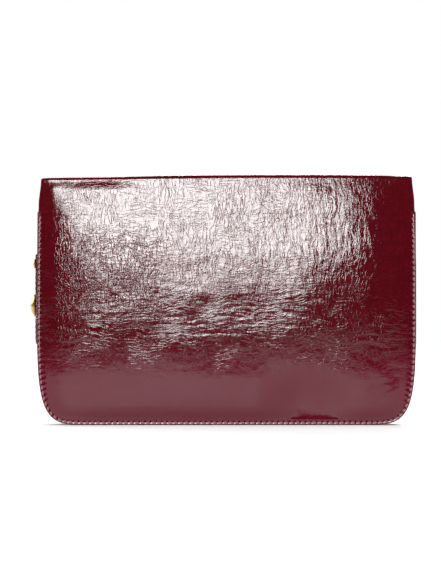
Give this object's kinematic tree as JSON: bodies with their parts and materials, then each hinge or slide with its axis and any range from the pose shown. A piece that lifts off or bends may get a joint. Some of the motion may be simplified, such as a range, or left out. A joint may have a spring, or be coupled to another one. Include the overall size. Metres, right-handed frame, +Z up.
{
  "type": "clutch purse",
  "caption": "Envelope clutch purse in glazed leather: a fold-over flap with a press stud, gusseted sides, a slip pocket inside, and a strap-keeper tab at one side.",
  "frame": {"origin": "on the standing plane, midway between the two seam rims that the purse stands on, at the middle of its width", "axes": "+X along the width, towards the side with the strap-keeper tab; -Y out of the flap and its press stud, +Y out of the plain back panel; +Z up"},
  "size_m": [0.2442, 0.0381, 0.158],
  "materials": {
    "glazed_leather": "glazed, fine crosswise wrinkle",
    "lining_leather": "matt suede side",
    "pocket_leather": "smooth, slightly glossy",
    "board": "raw fibre board",
    "thread": "waxed twisted thread",
    "brass": "polished, lightly worn"
  },
  "bodies": {
    "body": {"back_panel": "glazed_leather", "back_board": "board", "back_lining": "lining_leather", "front_panel": "glazed_leather", "front_board": "board", "front_lining": "lining_leather", "front_facing": "glazed_leather", "left_gusset": "glazed_leather", "right_gusset": "glazed_leather", "bottom_gusset": "glazed_leather", "gusset_lining": "lining_leather", "slip_pocket": "pocket_leather", "pocket_stitches": "thread", "back_seam_stitches": "thread", "front_seam_stitches": "thread", "mouth_stitches": "thread", "front_stud": "brass", "front_eyelet": "brass", "tab_anchor": "glazed_leather", "tab_rivet": "brass", "tab_stud": "brass", "tab_eyelet": "brass"},
    "fold": {"fold_leather": "glazed_leather", "fold_padding": "board", "fold_lining": "lining_leather"},
    "flap": {"flap_panel": "glazed_leather", "flap_board": "board", "flap_lining": "lining_leather", "flap_stitches": "thread", "flap_socket": "brass", "flap_cap": "brass"},
    "tab": {"side_tab": "glazed_leather", "tab_stitches": "thread", "tab_socket": "brass", "tab_cap": "brass"}
  },
  "joints": [
    {"name": "flap_bend", "type": "hinge", "parent": "fold", "child": "flap", "pos_m": [0, -0.01199, 0.1567], "axis": [-1, 0, 0], "range_deg": [0, 90]},
    {"name": "fold_bend", "type": "hinge", "parent": "body", "child": "fold", "pos_m": [0, 0.00741, 0.1567], "axis": [-1, 0, 0], "range_deg": [0, 90]},
    {"name": "tab_bend", "type": "hinge", "parent": "body", "child": "tab", "pos_m": [0.121, 0, 0.096], "axis": [0, -1, 0], "range_deg": [0, 100]}
  ],
  "couplings": [
    {"joint": "fold_bend", "follows": "flap_bend", "ratio": 1}
  ]
}
